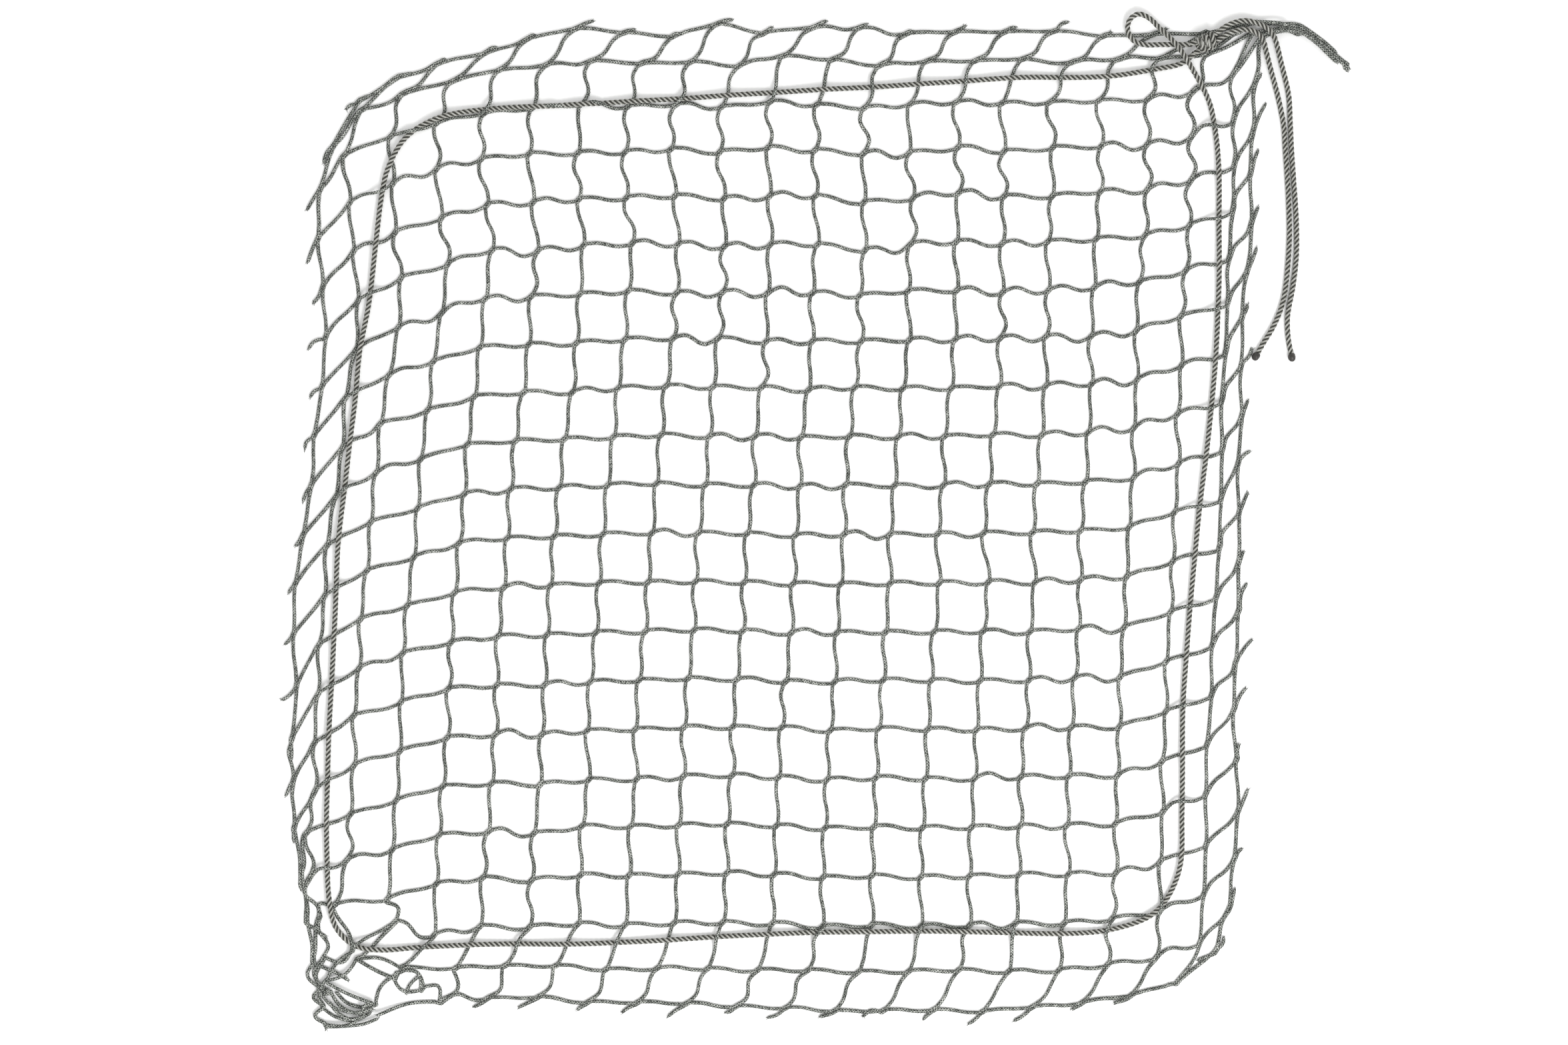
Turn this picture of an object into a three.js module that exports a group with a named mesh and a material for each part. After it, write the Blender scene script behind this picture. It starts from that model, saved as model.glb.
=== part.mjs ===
// Hay net laid out flat: a square of knotless netting, 22 strands each way, with a laid
// drawstring threaded round it one and a half meshes in from the cut edge.
// The drawstring's two ends meet in a slip knot with a bow loop at one corner, run along the
// gathered netting there, and lie beside the net as two free tails with melted ends.
// Millimetres, +Z up. The net lies on z = 0. The strands' names count from the far left corner.
import * as THREE from 'three';

// Netting twine: 4 mm knitted twine, flattened to half its height where two strands share a joint.
const TWINE_WIDTH = 3.8;
const LAYER = 1.7;
const LAYER_GAP = 0.3;
const STRANDS = 22;

// Drawstring: three-strand laid rope.
const ROPE_D = 5;
const ROPE_SIDES = 8;
const ROPE_REST_Z = 2 * LAYER + 2 * LAYER_GAP + ROPE_D / 2;
const JOINT_GAP = 0.3;
const RUN_GAP = 0.9;

// The strands that ride over the drawstring, counted from 1; the others pass under it.
const RIDERS = { across: [4, 12, 14, 17], down: [8, 10, 13, 15, 17, 19] };
const HUMP_FLAT = 3.9;
const HUMP_RUN = 5.5;
const HUMP_Z = ROPE_REST_Z + ROPE_D / 2 + LAYER_GAP;
const HUMP_CLEAR = HUMP_FLAT + HUMP_RUN + TWINE_WIDTH / 2 + 0.4;
const SQUARE_ENOUGH = 0.84;
const SHARPEST_MITRE = 0.7;

// Slip knot and melted rope ends.
const KNOT_LENGTH = 17;
const KNOT_R = 6.6;
const KNOT_GROOVE = 1.1;
const KNOT_AT = [386, 439];
const END_R = 3.5;

// The centre of the net's footprint in the layout below, moved to the origin.
const CENTRE = [25.92, 2.94];

// The layout of the netting: where down strands COLUMNS[i] and across strands ROWS[j] cross, in
// x and y. Inside, from strand 5 to strand 17, the joints are evenly spaced. Along its edges the
// net is pulled askew; it is crumpled at the near left corner, and gathered into a rope of netting
// at the far right one.
const COLUMNS = [0, 1, 2, 5, 17, 19, 20, 21];
const ROWS = [0, 1, 2, 5, 11, 17, 19, 20, 21];
const NET = [
  [[-388, 383], [-356, 407], [-322, 421], [-192, 447],
    [334, 449], [425, 458], [470, 462], [514, 431]],
  [[-416, 347], [-385, 376], [-349, 392], [-217, 419],
    [307, 424], [394, 437], [434, 449], [474, 447]],
  [[-427, 308], [-403, 336], [-364, 355], [-231, 381],
    [292, 385], [377, 396], [412, 411], [438, 440]],
  [[-419, 173], [-392, 205], [-353, 226], [-226, 252],
    [287, 259], [368, 276], [411, 288], [428, 319]],
  [[-450, -100], [-422, -65], [-384, -43], [-254, -14],
    [275, -8], [359, 9], [400, 26], [419, 56]],
  [[-445, -336], [-434, -323], [-400, -310], [-273, -284],
    [260, -280], [345, -268], [389, -247], [419, -221]],
  [[-437, -400], [-423, -396], [-403, -384], [-280, -371],
    [260, -370], [346, -356], [387, -344], [421, -310]],
  [[-428, -428], [-419, -417], [-409, -407], [-301, -408],
    [256, -412], [345, -400], [383, -385], [412, -357]],
  [[-421, -458], [-402, -456], [-373, -449], [-304, -438],
    [229, -446], [325, -430], [363, -418], [399, -389]],
];

// Cut ends that stand out past the edge strands, and which way each edge's ends lie.
const STUBS = [16, 22, 12, 18, 9, 14];
const SHORT_STUB = 3;
const STUB_WAY = { left: [-0.6, -0.8], right: [0.5, 0.87], far: [0.85, 0.53], near: [-0.8, -0.6] };

// The drawstring's run round the net, from the knot anticlockwise to the bow loop.
const ROUND = [
  [376, 430], [365, 421], [341, 416], [296, 409], [216, 408], [108, 401], [0, 395], [-108, 388],
  [-216, 382], [-274, 379], [-317, 371], [-346, 354], [-363, 325], [-369, 300], [-374, 257],
  [-381, 199], [-389, 156], [-394, 106], [-401, 48], [-409, -24], [-412, -96], [-416, -168],
  [-419, -250], [-419, -311], [-417, -345], [-411, -371], [-394, -388], [-368, -392], [-338, -390],
  [-280, -387], [-169, -386], [0, -377], [144, -375], [252, -377], [302, -373], [342, -356],
  [362, -320], [365, -269], [366, -168], [374, -60], [381, 12], [392, 106], [398, 192], [399, 268],
  [398, 336], [392, 379], [383, 400],
];
const ROUND_STEPS = 150;
const ROUND_END = [376.4, 411, 8.5];

// The round run's sides and corners, in order, and the share of its length at which each ends.
const RUNS = [
  { name: 'drawstring_far_side', to: 0.234 },
  { name: 'drawstring_far_left_corner', to: 0.28 },
  { name: 'drawstring_left_side', to: 0.48 },
  { name: 'drawstring_near_left_corner', to: 0.52 },
  { name: 'drawstring_near_side', to: 0.727 },
  { name: 'drawstring_near_right_corner', to: 0.773 },
  { name: 'drawstring_right_side', to: 0.946 },
  { name: 'drawstring_far_right_corner', to: 1 },
];

// The bow loop: it leaves the round run, crosses over it and comes back under itself.
const LOOP = [
  [376, 411.6, 8.7], [372, 418, 11], [367, 426, 12.3], [360, 436, 12.3], [352, 445, 10.5], [344, 453, 7.6],
  [335, 462, 6.5], [325, 466, 6.5], [317, 461, 6.5], [315, 451, 6.5], [320, 442, 6.5], [330, 438, 6.5],
  [345, 438, 6.5], [360, 438, 6.5], [372, 438, 6.5],
];
const LOOP_STEPS = 22;

// The tails' free lengths, from the knot to the melted ends.
const TAIL_A = [
  [396, 448, 6.5], [407, 456, 6.5], [422, 460, 6.5], [438, 456, 6.5], [446, 450, 6.5], [450, 443, 6.3],
  [456, 421, 4.2], [463, 392, 2.5], [464.5, 366, 2.5], [465.5, 344, 2.5], [467.5, 315, 2.5],
  [470, 277, 2.5], [470, 244, 2.5], [467, 217, 2.5], [462, 189, 2.5], [462.5, 170, 2.5], [465.5, 153, 2.5],
];
const TAIL_B = [
  [396, 441, 6.5], [407, 448, 6.5], [422, 452, 6.5], [433, 449, 6.5], [439, 442, 6.5], [442, 431, 6.3],
  [446, 416, 5], [453, 391, 2.7], [458.4, 364, 2.5], [459.8, 344, 2.5], [461.8, 315, 2.5], [463, 293, 2.5],
  [463.6, 261, 2.5], [461, 223, 2.5], [457, 200, 2.5], [449, 180, 2.5], [440, 165, 2.5], [433.4, 153.6, 2.5],
];
const TAIL_STEPS = 36;

const TWINE_COLOUR = 0x6f746c;
const ROPE_COLOUR = 0x8d8c83;
const MELTED_COLOUR = 0x2c2a27;

const net = new THREE.Group();
const layout = new THREE.Group();
layout.position.set(-CENTRE[0], -CENTRE[1], 0);
net.add(layout);

function addPiece(name, geometry, colour, roughness) {
  const material = new THREE.MeshStandardMaterial({ color: colour, roughness, metalness: 0 });
  const mesh = new THREE.Mesh(geometry, material);
  mesh.name = name;
  layout.add(mesh);
  return mesh;
}

// A smooth curve through values at uneven keys (cubic Hermite, slopes from the neighbours).
function spline(keys, values, at) {
  let k = 0;
  while (k < keys.length - 2 && at > keys[k + 1]) {
    k += 1;
  }
  const slope = (n) => {
    const a = Math.max(n - 1, 0);
    const b = Math.min(n + 1, keys.length - 1);
    return (values[b] - values[a]) / (keys[b] - keys[a]);
  };
  const span = keys[k + 1] - keys[k];
  const t = (at - keys[k]) / span;
  const t2 = t * t;
  const t3 = t2 * t;
  return (2 * t3 - 3 * t2 + 1) * values[k] + (t3 - 2 * t2 + t) * span * slope(k)
    + (3 * t2 - 2 * t3) * values[k + 1] + (t3 - t2) * span * slope(k + 1);
}

// Where across-strand j and down-strand i meet.
function crossing(i, j) {
  return [0, 1].map((axis) => {
    const column = NET.map((row) => spline(COLUMNS, row.map((point) => point[axis]), i));
    return spline(ROWS, column, j);
  });
}

function stub(from, way, length) {
  return [from[0] + way[0] * length, from[1] + way[1] * length];
}

// The plan of one strand: its joints, with a cut end past each edge.
function strandPlan(across, index) {
  const joints = [];
  for (let n = 0; n < STRANDS; n += 1) {
    joints.push(across ? crossing(n, index) : crossing(index, n));
  }
  const startWay = across ? STUB_WAY.left : STUB_WAY.far;
  const endWay = across ? STUB_WAY.right : STUB_WAY.near;
  const gathered = across ? index < 4 : index > 17 || index === 0;
  const crumpled = across ? index > 17 : index < 3;
  const first = STUBS[index % STUBS.length];
  const last = STUBS[(index + 3) % STUBS.length];
  const startLength = across && crumpled ? SHORT_STUB : first;
  const endLength = !across && crumpled ? SHORT_STUB : last;
  const start = stub(joints[0], startWay, !across && gathered ? SHORT_STUB : startLength);
  const end = stub(joints[STRANDS - 1], endWay, across && gathered ? SHORT_STUB : endLength);
  return [start, ...joints, end];
}

// Where two straight stretches cross in plan: the share of each, or null.
function meet(a, b, c, d) {
  const r = [b[0] - a[0], b[1] - a[1]];
  const s = [d[0] - c[0], d[1] - c[1]];
  const area = r[0] * s[1] - r[1] * s[0];
  const t = ((c[0] - a[0]) * s[1] - (c[1] - a[1]) * s[0]) / area;
  const u = ((c[0] - a[0]) * r[1] - (c[1] - a[1]) * r[0]) / area;
  const square = Math.abs(area) / (Math.hypot(...r) * Math.hypot(...s));
  return t > 0 && t < 1 && u > 0 && u < 1 ? { share: t, square } : null;
}

// A strand's line in space: level, except where a rider passes over the drawstring. It does so
// at its first or second crossing, whichever is even, if that is square and clear of its joints.
function strandLine(plan, z, ropePlan, rider, turn) {
  const line = [[plan[0][0], plan[0][1], z]];
  let count = turn;
  for (let n = 1; n < plan.length; n += 1) {
    const a = plan[n - 1];
    const b = plan[n];
    const length = Math.hypot(b[0] - a[0], b[1] - a[1]);
    const at = (s, level) => [a[0] + (b[0] - a[0]) * s / length, a[1] + (b[1] - a[1]) * s / length, level];
    for (let m = 1; m < ropePlan.length; m += 1) {
      const hit = meet(a, b, ropePlan[m - 1], ropePlan[m]);
      if (hit) {
        const s = hit.share * length;
        const clear = s > HUMP_CLEAR && s < length - HUMP_CLEAR;
        if (rider && count % 2 === 0 && clear && hit.square > SQUARE_ENOUGH) {
          line.push(at(s - HUMP_FLAT - HUMP_RUN, z));
          line.push(at(s - HUMP_FLAT, HUMP_Z));
          line.push(at(s + HUMP_FLAT, HUMP_Z));
          line.push(at(s + HUMP_FLAT + HUMP_RUN, z));
        }
        count += 1;
      }
    }
    line.push([b[0], b[1], z]);
  }
  return line;
}

// A flat band of twine along a line, square-cut at both ends and mitred at the joints.
function band(line, width, height) {
  const positions = [];
  const index = [];
  line.forEach((p, n) => {
    const before = line[Math.max(n - 1, 0)];
    const after = line[Math.min(n + 1, line.length - 1)];
    const inWay = n > 0 ? Math.atan2(p[1] - before[1], p[0] - before[0]) : null;
    const outWay = n < line.length - 1 ? Math.atan2(after[1] - p[1], after[0] - p[0]) : inWay;
    const from = inWay === null ? outWay : inWay;
    const turn = Math.atan2(Math.sin(outWay - from), Math.cos(outWay - from));
    const way = from + turn / 2;
    const half = width / 2 / Math.max(Math.cos(turn / 2), SHARPEST_MITRE);
    const side = [-Math.sin(way) * half, Math.cos(way) * half];
    positions.push(p[0] + side[0], p[1] + side[1], p[2]);
    positions.push(p[0] - side[0], p[1] - side[1], p[2]);
    positions.push(p[0] - side[0], p[1] - side[1], p[2] + height);
    positions.push(p[0] + side[0], p[1] + side[1], p[2] + height);
  });
  for (let n = 0; n < line.length - 1; n += 1) {
    for (let k = 0; k < 4; k += 1) {
      const a = 4 * n + k;
      const b = 4 * n + (k + 1) % 4;
      index.push(a, b + 4, b, a, a + 4, b + 4);
    }
  }
  const last = 4 * (line.length - 1);
  index.push(0, 2, 3, 0, 1, 2);
  index.push(last, last + 2, last + 1, last, last + 3, last + 2);
  const geometry = new THREE.BufferGeometry();
  geometry.setAttribute('position', new THREE.Float32BufferAttribute(positions, 3));
  geometry.setIndex(index);
  geometry.computeVertexNormals();
  return geometry;
}

// A rope as a round tube along a smooth curve.
function rope(points, steps) {
  const curve = new THREE.CatmullRomCurve3(points.map((p) => new THREE.Vector3(...p)));
  curve.arcLengthDivisions = 2000;
  const section = new THREE.Shape();
  for (let k = 0; k < ROPE_SIDES; k += 1) {
    const angle = (k + 0.5) * 2 * Math.PI / ROPE_SIDES;
    const x = Math.cos(angle) * ROPE_D / 2;
    const y = Math.sin(angle) * ROPE_D / 2;
    if (k === 0) {
      section.moveTo(x, y);
    } else {
      section.lineTo(x, y);
    }
  }
  section.closePath();
  return new THREE.ExtrudeGeometry(section, { steps, extrudePath: curve, bevelEnabled: false });
}

// The drawstring's run round the net.
const roundPoints = ROUND.map((p) => [p[0], p[1], ROPE_REST_Z]);
roundPoints.push(ROUND_END);
const roundCurve = new THREE.CatmullRomCurve3(roundPoints.map((p) => new THREE.Vector3(...p)));
roundCurve.arcLengthDivisions = 2000;
const roundSpaced = roundCurve.getSpacedPoints(ROUND_STEPS);
const ropePlan = roundSpaced.map((p) => [p.x, p.y]);
let from = 0;
for (const run of RUNS) {
  const to = Math.round(run.to * ROUND_STEPS);
  const stretch = roundSpaced.slice(from, to + 1);
  if (from > 0) {
    stretch[0].add(stretch[1].clone().sub(stretch[0]).setLength(RUN_GAP));
  }
  addPiece(run.name, rope(stretch.map((p) => p.toArray()), to - from), ROPE_COLOUR, 0.85);
  from = to;
}

// The netting: across strands below, down strands on them.
for (let n = 0; n < STRANDS; n += 1) {
  const number = String(n + 1).padStart(2, '0');
  const acrossRider = RIDERS.across.includes(n + 1);
  const downRider = RIDERS.down.includes(n + 1);
  const acrossLine = strandLine(strandPlan(true, n), 0, ropePlan, acrossRider, n % 2);
  const downLine = strandLine(strandPlan(false, n), LAYER + LAYER_GAP, ropePlan, downRider, n % 2);
  addPiece(`strand_across_${number}`, band(acrossLine, TWINE_WIDTH, LAYER), TWINE_COLOUR, 0.9);
  addPiece(`strand_down_${number}`, band(downLine, TWINE_WIDTH, LAYER), TWINE_COLOUR, 0.9);
}

// The slip knot: three wraps of rope drawn up into a barrel that lies across the two ropes.
const knotProfile = [new THREE.Vector2(0, -KNOT_LENGTH / 2)];
const wraps = 3;
for (let n = 0; n < wraps; n += 1) {
  const y0 = -KNOT_LENGTH / 2 + n * KNOT_LENGTH / wraps;
  const y1 = y0 + KNOT_LENGTH / wraps;
  knotProfile.push(new THREE.Vector2(KNOT_R - KNOT_GROOVE, y0 + (n === 0 ? 0 : 0.4)));
  knotProfile.push(new THREE.Vector2(KNOT_R, y0 + 1.7));
  knotProfile.push(new THREE.Vector2(KNOT_R, y1 - 1.7));
  knotProfile.push(new THREE.Vector2(KNOT_R - KNOT_GROOVE, y1 - (n === wraps - 1 ? 0 : 0.4)));
}
knotProfile.push(new THREE.Vector2(0, KNOT_LENGTH / 2));
const knot = addPiece('drawstring_slip_knot', new THREE.LatheGeometry(knotProfile, 14), ROPE_COLOUR, 0.85);
knot.position.set(KNOT_AT[0], KNOT_AT[1], 2 * LAYER + 2 * LAYER_GAP + KNOT_R);

addPiece('drawstring_bow_loop', rope(LOOP, LOOP_STEPS), ROPE_COLOUR, 0.85);
addPiece('drawstring_tail_a', rope(TAIL_A, TAIL_STEPS), ROPE_COLOUR, 0.85);
addPiece('drawstring_tail_b', rope(TAIL_B, TAIL_STEPS), ROPE_COLOUR, 0.85);

// A melted end: a small blob, flat where the cord meets it, just past the cord's last point.
function meltedEnd(name, tail) {
  const tip = new THREE.Vector3(...tail[tail.length - 1]);
  const way = tip.clone().sub(new THREE.Vector3(...tail[tail.length - 2])).normalize();
  const profile = [new THREE.Vector2(0, 0), new THREE.Vector2(2.4, 0)];
  for (let k = 1; k <= 5; k += 1) {
    const angle = -0.55 + k * (Math.PI / 2 + 0.55) / 5;
    profile.push(new THREE.Vector2(Math.max(Math.cos(angle) * END_R, 0), 2.2 + Math.sin(angle) * END_R));
  }
  const mesh = addPiece(name, new THREE.LatheGeometry(profile, 12), MELTED_COLOUR, 0.5);
  mesh.quaternion.setFromUnitVectors(new THREE.Vector3(0, 1, 0), way);
  mesh.position.copy(tip).addScaledVector(way, JOINT_GAP);
  mesh.position.z = END_R;
  return mesh;
}
meltedEnd('melted_end_a', TAIL_A);
meltedEnd('melted_end_b', TAIL_B);

export default net;
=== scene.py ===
"""A hay net laid flat on a pale floor: knotless netting with a laid drawstring round it.

Metres, in the CAD model's frame. The netting is built as it is knitted. Each end of twine
climbs the net as a staircase, to the right along one mesh and up the next, and lies side by
side with its neighbour for a short way at every joint.
"""
import math

import bpy
import numpy as np
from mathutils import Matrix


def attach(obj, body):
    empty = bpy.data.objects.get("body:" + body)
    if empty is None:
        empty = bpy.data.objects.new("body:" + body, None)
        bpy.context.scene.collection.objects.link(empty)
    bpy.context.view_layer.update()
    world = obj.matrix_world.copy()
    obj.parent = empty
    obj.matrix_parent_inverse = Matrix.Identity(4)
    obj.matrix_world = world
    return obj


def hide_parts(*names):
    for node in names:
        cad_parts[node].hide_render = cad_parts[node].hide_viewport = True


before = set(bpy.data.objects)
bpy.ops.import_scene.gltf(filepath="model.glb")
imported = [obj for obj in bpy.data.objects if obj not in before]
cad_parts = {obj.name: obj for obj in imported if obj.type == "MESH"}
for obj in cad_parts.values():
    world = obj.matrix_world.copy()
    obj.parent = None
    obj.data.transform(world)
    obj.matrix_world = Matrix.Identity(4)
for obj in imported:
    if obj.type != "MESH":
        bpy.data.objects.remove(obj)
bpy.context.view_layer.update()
scene = bpy.context.scene
rng = np.random.default_rng(20)

MM = 0.001
BODY = "root"
# The layout's middle. The CAD model's is 0.18 mm further right, so the net lies 0.18 mm off it.
CENTRE = np.array([0.02574, 0.00294, 0.0])

# ---------------------------------------------------------------- driving dimensions

STRANDS = 22
LEG = 37.9 * MM            # twine between two joints
PITCH_LEAST = 42.2 * MM    # from joint to joint, where the net is drawn together
PITCH_MOST = 44.6 * MM     # and where it is pulled straight
UNEVEN = 3.2 * MM          # how far a joint lies from where an even net would have it
JOINT_HALF = 3.1 * MM      # half the length of a joint's body
JOINT_SIDE = 1.25 * MM     # from a joint's middle to each of its two ends of twine
TWINE_W = 1.6 * MM         # half the twine's width
TWINE_H = 1.35 * MM        # half its height
JOINT_SQUEEZE = 0.8        # the twine is narrower where two ends share a joint
STITCH = 2.6 * MM
RINGS_PER_STITCH = 3
WALES = 6                  # columns of stitches round the twine
TWINE_SIDES = 2 * WALES

LAY = 14 * MM              # one full turn of a rope strand
ROPE_STRAND_R = 1.24 * MM
ROPE_HELIX_R = 1.36 * MM
ROPE_RING = 1.1 * MM
ROPE_SIDES = 10
ROPE_OVER_Z = 5.8 * MM
ROPE_UNDER_Z = 2.6 * MM
TWINE_OVER_Z = 6.9 * MM
TWINE_REST_Z = TWINE_H * 1.02
LIFT_REACH = 17 * MM       # to each side of a crossing, where the twine rises over the rope
SAME_WAY_GAP = 11 * MM     # crossings closer together along the rope go the same way
HEIGHT_SMOOTHING = 11      # steps of 1 mm to each side over which the rope's height is smoothed
KNOT_START_Z = 6.5 * MM    # the rope's height where it leaves the knot
KNOT_START_REACH = 25 * MM
KNOT_FINISH_Z = 8.5 * MM   # and where it comes back to it
KNOT_FINISH_REACH = 28 * MM

LEG_UNEVEN = 0.008         # spread of the legs' lengths, as a share
SLACK_LEAST = 0.3 * MM
SHORT_LEG = 8 * MM         # legs shorter than this swing as if they were this long
SWING_MOST = 6 * MM
BULGE_FROM = 6 * MM        # slack at which a leg starts to bow out; at twice this it only bows
BULGE_MOST = 9 * MM
STUB_TURN = 0.2            # spread of the cut ends' directions, in radians
STUB_BOW = 0.1             # spread of their bows, as a share of their lengths
CORNER_STUB = 5 * MM       # length of a cut end in a gathered corner
PILE_LAYERS = 4
PILE_STEP = 2.0 * MM       # height of one layer where the twine is piled up
FILAMENTS = 7              # loose ones at each cut end
FILAMENT_R = MM * np.array([0.32, 0.28, 0.2, 0.08])
PIECE_TRIANGLES = 110000   # a piece of netting with more than this takes no further end of twine

SETTLING_STEPS = 160
SHORTEST_SHARE = 1.05      # of a stretch's length in the layout, if that is below PITCH_LEAST
STRETCH_PULL = 0.22
HOME_PULL = 0.03

# ---------------------------------------------------------------- layout

# Where down strands COLUMNS[i] and across strands ROWS[j] cross. Inside, from strand 5 to strand
# 17, the joints start out about evenly spaced. In millimetres, like every table of places below.
COLUMNS = [0, 1, 2, 5, 17, 19, 20, 21]
ROWS = [0, 1, 2, 5, 11, 17, 19, 20, 21]
NET = MM * np.array([
    [(-388, 383), (-356, 407), (-322, 421), (-192, 447),
     (334, 449), (425, 458), (470, 462), (514, 431)],
    [(-416, 347), (-385, 376), (-349, 392), (-217, 419),
     (307, 424), (394, 437), (434, 449), (474, 447)],
    [(-427, 308), (-403, 336), (-364, 355), (-231, 381),
     (292, 385), (377, 396), (412, 411), (438, 440)],
    [(-419, 173), (-392, 205), (-353, 226), (-226, 252),
     (287, 259), (368, 276), (411, 288), (428, 319)],
    [(-450, -100), (-422, -65), (-384, -43), (-254, -14),
     (275, -8), (359, 9), (400, 26), (419, 56)],
    [(-445, -336), (-434, -323), (-400, -310), (-273, -284),
     (260, -280), (345, -268), (389, -247), (419, -221)],
    [(-437, -400), (-423, -396), (-403, -384), (-280, -371),
     (260, -370), (346, -356), (387, -344), (421, -310)],
    [(-428, -428), (-419, -417), (-409, -407), (-301, -408),
     (256, -412), (345, -400), (383, -385), (412, -357)],
    [(-421, -458), (-402, -456), (-373, -449), (-304, -438),
     (229, -446), (325, -430), (363, -418), (399, -389)],
], dtype=float)

# Joints [column, row] that lie in the gathered and the crumpled corner, placed one by one.
GATHERED = {
    (18, 0): (385, 449), (19, 0): (427, 458), (20, 0): (471, 456), (21, 0): (515, 421),
    (18, 1): (346, 426), (19, 1): (389, 430), (20, 1): (433, 449), (21, 1): (469, 451),
    (20, 2): (412, 411), (21, 2): (440, 446),
}
CRUMPLED = {
    (0, 13): (-451, -197), (0, 14): (-450, -236), (0, 15): (-449, -279), (0, 16): (-443, -324),
    (0, 17): (-438, -365), (0, 18): (-432, -401), (0, 19): (-426, -427), (0, 20): (-423, -444),
    (0, 21): (-420, -461),
    (1, 14): (-431, -203), (1, 15): (-430, -246), (1, 16): (-438, -285), (1, 17): (-435, -326),
    (1, 18): (-427, -364), (1, 19): (-423, -401), (1, 20): (-416, -431), (1, 21): (-386, -452),
    (2, 17): (-401, -310), (2, 18): (-412, -351), (2, 19): (-395, -390), (2, 20): (-419, -420),
    (2, 21): (-375, -442),
    (3, 18): (-364, -346), (3, 19): (-357, -367), (3, 20): (-389, -400), (3, 21): (-356, -416),
    (4, 18): (-319, -332), (4, 19): (-321, -379), (4, 20): (-350, -408), (4, 21): (-332, -428),
    (5, 19): (-279, -371), (5, 20): (-301, -409), (5, 21): (-313, -439),
    (6, 20): (-256, -407), (6, 21): (-272, -437),
}
CRUMPLE_AT = MM * np.array([-401.0, -448.0])
CRUMPLE_REACH = 62 * MM
PILE_X = -0.39             # left of this, twine in the pile bows away from the net's middle
GATHER_AT = MM * np.array([470.0, 455.0])
GATHER_REACH = 62 * MM

# Which way the cut ends point past each edge, and how far they stand out, in order.
STUB_WAY = {"left": (-0.45, -0.89), "right": (0.42, 0.91), "far": (0.95, 0.31), "near": (-0.93, -0.37)}
STUB_LENGTHS = {
    "left": MM * np.array([9, 16, 19, 21, 14, 17, 12, 12, 14, 10, 8]),
    "right": MM * np.array([12, 17, 8, 24, 21, 20, 12, 18, 9, 15, 11]),
    "far": MM * np.array([8, 12, 5, 10, 4, 14, 7]),
    "near": MM * np.array([12, 17, 9, 14, 18, 8, 15]),
}

# The cut ends in the two gathered corners, by edge and end of twine, each from its joint outwards.
PLACED_STUBS = {
    ("far", 18): [(398, 446), (410, 447), (420, 450)],
    ("far", 19): [(440, 459), (452, 458), (462, 456)],
    ("far", 20): [(485, 449), (497, 440), (507, 431)],
    ("far", 21): [(516, 420), (517, 418), (519, 416)],
    ("right", 22): [(514, 418), (516, 416), (517, 414)],
    ("right", 23): [(484, 443), (496, 432), (507, 422)],
    ("right", 24): [(452, 450), (463, 451), (473, 447)],
    ("left", 14): [(-453, -241), (-455, -246), (-457, -251)],
    ("left", 15): [(-450, -285), (-450, -289), (-450, -293)],
    ("left", 16): [(-444, -329), (-444, -333), (-443, -337)],
    ("near", 22): [(-405, -462), (-386, -460), (-372, -455)],
    ("near", 23): [(-397, -455), (-409, -449), (-416, -440)],
    ("near", 24): [(-386, -445), (-401, -441), (-411, -431)],
    ("near", 25): [(-352, -413), (-347, -411), (-342, -412)],
    ("near", 26): [(-334, -417), (-343, -424), (-347, -433)],
    ("near", 27): [(-322, -440), (-346, -442), (-373, -452)],
    ("left", 17): [(-432, -372), (-426, -377), (-420, -380)],
    ("left", 18): [(-421, -409), (-409, -414), (-399, -420)],
    ("left", 19): [(-414, -443), (-395, -449), (-377, -446)],
    ("left", 20): [(-411, -454), (-394, -457), (-379, -450)],
    ("left", 21): [(-420, -462), (-420, -463), (-420, -465)],
}

# The drawstring's run round the net, anticlockwise from the knot, and the way up to its loop.
ROUND = MM * np.array([
    (376, 430), (365, 421), (341, 416), (296, 409), (216, 408), (108, 401), (0, 395), (-108, 388),
    (-216, 382), (-274, 379), (-317, 371), (-346, 354), (-363, 325), (-369, 300), (-374, 257),
    (-381, 199), (-389, 156), (-394, 106), (-401, 48), (-409, -24), (-412, -96), (-416, -168),
    (-419, -250), (-419, -311), (-417, -345), (-411, -371), (-394, -388), (-368, -392),
    (-338, -390), (-280, -387), (-169, -386), (0, -377), (144, -375), (252, -377), (302, -373),
    (342, -356), (362, -320), (365, -269), (366, -168), (374, -60), (381, 12), (392, 106),
    (398, 192), (399, 268), (398, 336), (392, 379), (383, 400), (376.4, 411),
], dtype=float)
LOOP = MM * np.array([
    (376, 411.6, 8.7), (372, 418, 11), (367, 426, 12.3), (360, 436, 12.3), (352, 445, 10.5),
    (344, 453, 7.6), (335, 462, 6.5), (325, 466, 6.5), (317, 461, 6.5), (315, 451, 6.5),
    (320, 442, 6.5), (330, 438, 6.5), (345, 438, 6.5), (360, 438, 6.5), (372, 438, 6.5),
])
TAIL_A = MM * np.array([
    (396, 448, 6.5), (407, 456, 6.5), (422, 460, 6.5), (438, 456, 6.5), (446, 450, 6.5),
    (450, 443, 6.3), (456, 421, 4.2), (463, 392, 2.5), (464.5, 366, 2.5), (465.5, 344, 2.5),
    (467.5, 315, 2.5), (470, 277, 2.5), (470, 244, 2.5), (467, 217, 2.5), (462, 189, 2.5),
    (462.5, 170, 2.5), (465.5, 153, 2.5),
])
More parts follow.
